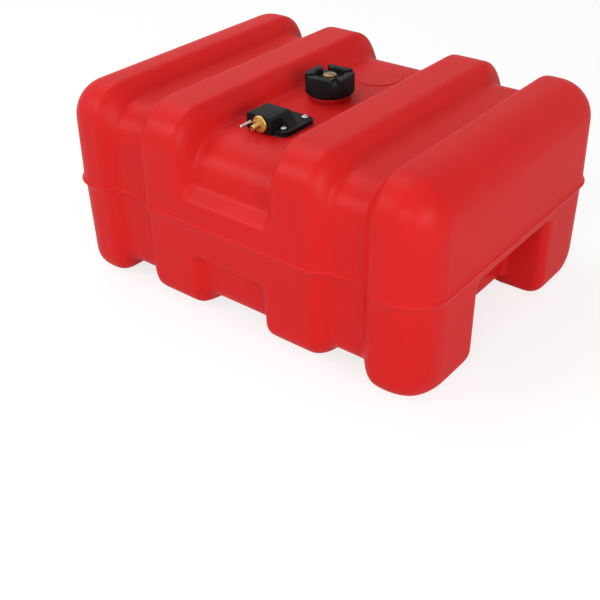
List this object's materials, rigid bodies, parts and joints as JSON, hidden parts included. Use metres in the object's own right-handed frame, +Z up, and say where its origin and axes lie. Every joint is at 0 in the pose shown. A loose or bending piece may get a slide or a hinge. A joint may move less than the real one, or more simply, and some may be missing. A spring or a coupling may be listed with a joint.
{
  "type": "portable fuel tank",
  "caption": "Low ridged red plastic fuel tank on moulded feet, with strap grooves, a hand recess, a vented screw cap and a plug-in fuel outlet with a pickup tube.",
  "frame": {"origin": "on the floor, under the middle of the tank", "axes": "+X along the length to the right as seen from the front, +Y towards the back, +Z up; the outlet nozzle and the hand recess face -Y"},
  "size_m": [0.503, 0.377, 0.2396],
  "materials": {
    "red_plastic": "satin moulded",
    "black_plastic": "satin moulded",
    "pale_plastic": "moulded",
    "seal_rubber": "matt",
    "brass": "turned",
    "steel": "bright zinc"
  },
  "bodies": {
    "tank": {"tank_shell": "red_plastic", "filler_neck": "red_plastic", "outlet_body": "black_plastic", "outlet_gasket": "seal_rubber", "fuel_nipple": "brass", "nipple_seal": "seal_rubber", "guide_pin": "steel", "flange_screws": "steel", "screw_inserts": "brass", "pickup_tube": "black_plastic", "pickup_strainer": "pale_plastic"},
    "gasket": {"cap_gasket": "seal_rubber"},
    "cap": {"cap_body": "black_plastic", "vent_bush": "brass"},
    "washer": {"vent_washer": "seal_rubber"},
    "vent": {"vent_screw": "brass", "vent_clip": "steel"}
  },
  "joints": [
    {"name": "cap_lift", "type": "slide", "parent": "tank", "child": "gasket", "axis": [0, 0, 1], "range_m": [0, 0.016]},
    {"name": "cap_turn", "type": "hinge", "parent": "gasket", "child": "cap", "pos_m": [-0.009, 0.013, 0.23], "axis": [0, 0, 1], "range_deg": [0, 720]},
    {"name": "vent_lift", "type": "slide", "parent": "cap", "child": "washer", "axis": [0, 0, 1], "range_m": [0, 0.0025]},
    {"name": "vent_turn", "type": "hinge", "parent": "washer", "child": "vent", "pos_m": [-0.009, 0.013, 0.235], "axis": [0, 0, 1], "range_deg": [0, 720]}
  ],
  "couplings": [
    {"joint": "cap_lift", "follows": "cap_turn", "m_per_rad": 0.0012732},
    {"joint": "vent_lift", "follows": "vent_turn", "m_per_rad": 0.00019894}
  ]
}
